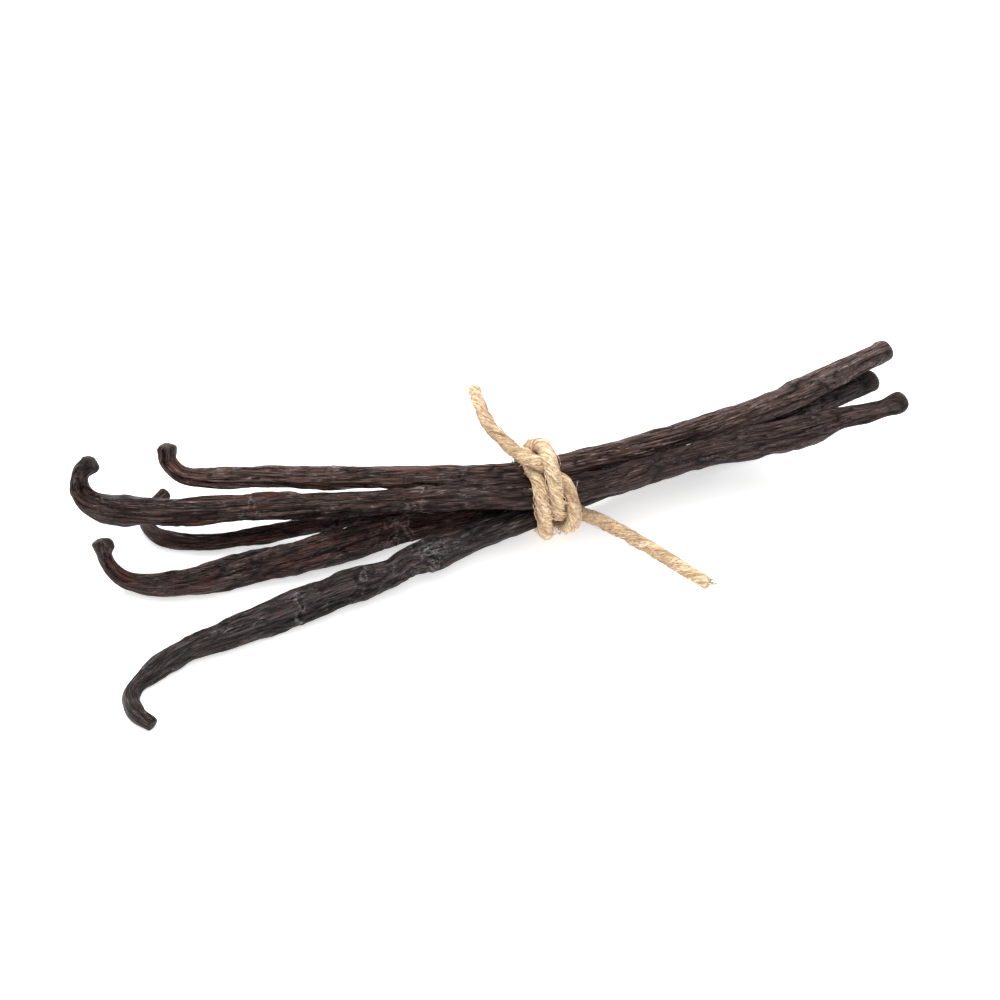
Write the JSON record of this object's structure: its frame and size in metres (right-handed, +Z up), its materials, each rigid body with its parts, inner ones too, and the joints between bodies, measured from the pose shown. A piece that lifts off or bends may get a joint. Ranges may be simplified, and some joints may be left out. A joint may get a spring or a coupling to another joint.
{
  "type": "bundle of vanilla pods",
  "caption": "Loose sheaf of dried vanilla pods with hooked stem ends, tied at the waist with knotted jute twine.",
  "frame": {"origin": "middle of the bundle's bounding box, at the level of the surface it lies on", "axes": "+X along the bundle towards the plain ends, +Z up; the hooked ends fan out at -X and the low front pod lies towards -Y"},
  "size_m": [0.1776, 0.0636, 0.0279],
  "materials": {
    "pod_top_back": "waxy, wrinkled lengthways, brown-black",
    "pod_top_front": "waxy, wrinkled lengthways, brown-black",
    "pod_low_back": "waxy, wrinkled lengthways, reddish black",
    "pod_bottom": "waxy, wrinkled lengthways, reddish black",
    "pod_low_front": "waxy, wrinkled lengthways, grey-black",
    "twine": "matt, fibrous, pale straw"
  },
  "bodies": {
    "root": {"pod_top_back": "pod_top_back", "pod_top_front": "pod_top_front", "pod_low_back": "pod_low_back", "pod_bottom": "pod_bottom", "pod_low_front": "pod_low_front", "twine": "twine"}
  },
  "joints": []
}
